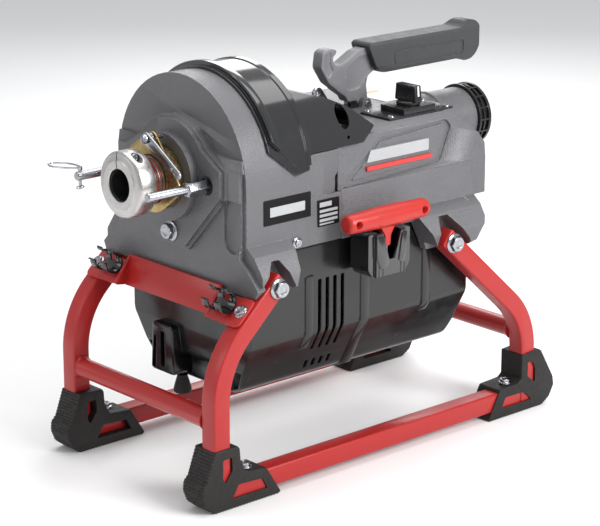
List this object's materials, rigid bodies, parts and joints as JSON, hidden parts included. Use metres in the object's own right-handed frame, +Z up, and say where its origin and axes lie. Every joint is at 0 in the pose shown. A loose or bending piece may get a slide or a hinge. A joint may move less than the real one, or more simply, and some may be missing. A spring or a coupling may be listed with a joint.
{
  "type": "drain snake machine",
  "caption": "Floor-standing sectional drain cleaning machine: hollow belt-driven spindle in a cast body, with clutch lever and rotary switch, on a tube frame with rubber feet.",
  "frame": {"origin": "centre of the bounding box at floor level", "axes": "+Z up, -Y towards the cable outlet (front), +X towards the side with the tool holder"},
  "size_m": [0.3362, 0.653, 0.5225],
  "materials": {
    "cast_grey": "fine textured powder coat",
    "cover_black": "glossy moulded plastic",
    "plastic_black": "satin moulded plastic",
    "rubber_dark": "moulded rubber",
    "grip_grey": "moulded rubber",
    "frame_red": "soft-sheen powder coat",
    "handle_red": "moulded plastic",
    "zinc": "bright zinc plate",
    "machined": "turned",
    "yellow_zinc": "yellow zinc plate",
    "steel": "machined",
    "spring_black": "glossy black"
  },
  "bodies": {
    "machine": {"rail_left": "frame_red", "leg_front_left": "frame_red", "foot_front_left": "rubber_dark", "foot_bolt_front_left": "zinc", "leg_bolt_front_left": "zinc", "leg_rear_left": "frame_red", "foot_rear_left": "rubber_dark", "foot_bolt_rear_left": "zinc", "leg_bolt_rear_left": "zinc", "clip_left": "spring_black", "post_left": "zinc", "rail_right": "frame_red", "leg_front_right": "frame_red", "foot_front_right": "rubber_dark", "foot_bolt_front_right": "zinc", "leg_bolt_front_right": "zinc", "leg_rear_right": "frame_red", "foot_rear_right": "rubber_dark", "foot_bolt_rear_right": "zinc", "leg_bolt_rear_right": "zinc", "clip_right": "spring_black", "post_right": "zinc", "cross_tube_front": "frame_red", "cross_tube_rear": "frame_red", "cross_plate": "frame_red", "body_casting": "cast_grey", "rear_cover": "cast_grey", "clutch_cover": "cover_black", "motor_cover": "plastic_black", "bumper": "rubber_dark", "latch_plate": "yellow_zinc", "latch_spring": "steel", "latch_screw": "zinc", "boss_bolt": "zinc", "bearing_front": "steel", "bearing_rear": "steel", "belt": "rubber_dark", "motor_can": "steel", "lever_pin": "zinc", "switch_plate": "plastic_black", "guide_tube": "cast_grey", "guard_ring": "plastic_black", "tool_holder": "plastic_black"},
    "spindle_unit": {"spindle": "steel", "collar": "machined", "collar_screw": "zinc", "spindle_pulley": "steel"},
    "rotor": {"motor_rotor": "steel"},
    "lever": {"clutch_lever": "cast_grey", "grip": "grip_grey", "lever_link": "zinc"},
    "sleeve": {"clutch_sleeve": "steel"},
    "jaw_1": {"clutch_jaw_1": "steel"},
    "jaw_2": {"clutch_jaw_2": "steel"},
    "jaw_3": {"clutch_jaw_3": "steel"},
    "knob": {"switch_knob": "plastic_black"},
    "latch": {"latch_link": "zinc"},
    "pin": {"hitch_pin": "zinc"},
    "tool": {"tool_handle": "handle_red", "tool_stem": "steel"}
  },
  "joints": [
    {"name": "motor_spin", "type": "hinge", "parent": "machine", "child": "rotor", "pos_m": [-0.00185, 0.00878, 0.2], "axis": [0, 1, 0], "continuous": true},
    {"name": "spindle_spin", "type": "hinge", "parent": "machine", "child": "spindle_unit", "pos_m": [-0.00185, 0.00878, 0.387], "axis": [0, 1, 0], "continuous": true},
    {"name": "clutch_lever_press", "type": "hinge", "parent": "machine", "child": "lever", "pos_m": [-0.00185, 0.09678, 0.434], "axis": [1, 0, 0], "range_deg": [-8.5, 0], "stiffness_Nm_per_rad": 8, "springref_deg": 20.05},
    {"name": "sleeve_slide", "type": "slide", "parent": "machine", "child": "sleeve", "axis": [0, 1, 0], "range_m": [-0.0075, 0]},
    {"name": "jaw_1_close", "type": "slide", "parent": "spindle_unit", "child": "jaw_1", "axis": [0, 0, -1], "range_m": [0, 0.005]},
    {"name": "jaw_2_close", "type": "slide", "parent": "spindle_unit", "child": "jaw_2", "axis": [-0.866, 0, 0.5], "range_m": [0, 0.005]},
    {"name": "jaw_3_close", "type": "slide", "parent": "spindle_unit", "child": "jaw_3", "axis": [0.866, 0, 0.5], "range_m": [0, 0.005]},
    {"name": "switch_turn", "type": "hinge", "parent": "machine", "child": "knob", "pos_m": [0.07515, 0.11478, 0.441], "axis": [0, 0, 1], "range_deg": [-45, 45]},
    {"name": "latch_swing", "type": "hinge", "parent": "machine", "child": "latch", "pos_m": [0.00215, -0.25972, 0.44], "axis": [0, 1, 0], "range_deg": [-25, 0], "stiffness_Nm_per_rad": 0.05, "springref_deg": 20.05},
    {"name": "hitch_pin_lift", "type": "slide", "parent": "machine", "child": "pin", "axis": [0, 0, 1], "range_m": [0, 0.03]},
    {"name": "tool_lift", "type": "slide", "parent": "machine", "child": "tool", "axis": [0, 0, 1], "range_m": [0, 0.07]}
  ],
  "couplings": [
    {"joint": "spindle_spin", "follows": "motor_spin", "ratio": 0.34483},
    {"joint": "sleeve_slide", "follows": "clutch_lever_press", "m_per_rad": 0.047},
    {"joint": "jaw_1_close", "follows": "clutch_lever_press", "m_per_rad": -0.032355},
    {"joint": "jaw_2_close", "follows": "clutch_lever_press", "m_per_rad": -0.032355},
    {"joint": "jaw_3_close", "follows": "clutch_lever_press", "m_per_rad": -0.032355}
  ]
}
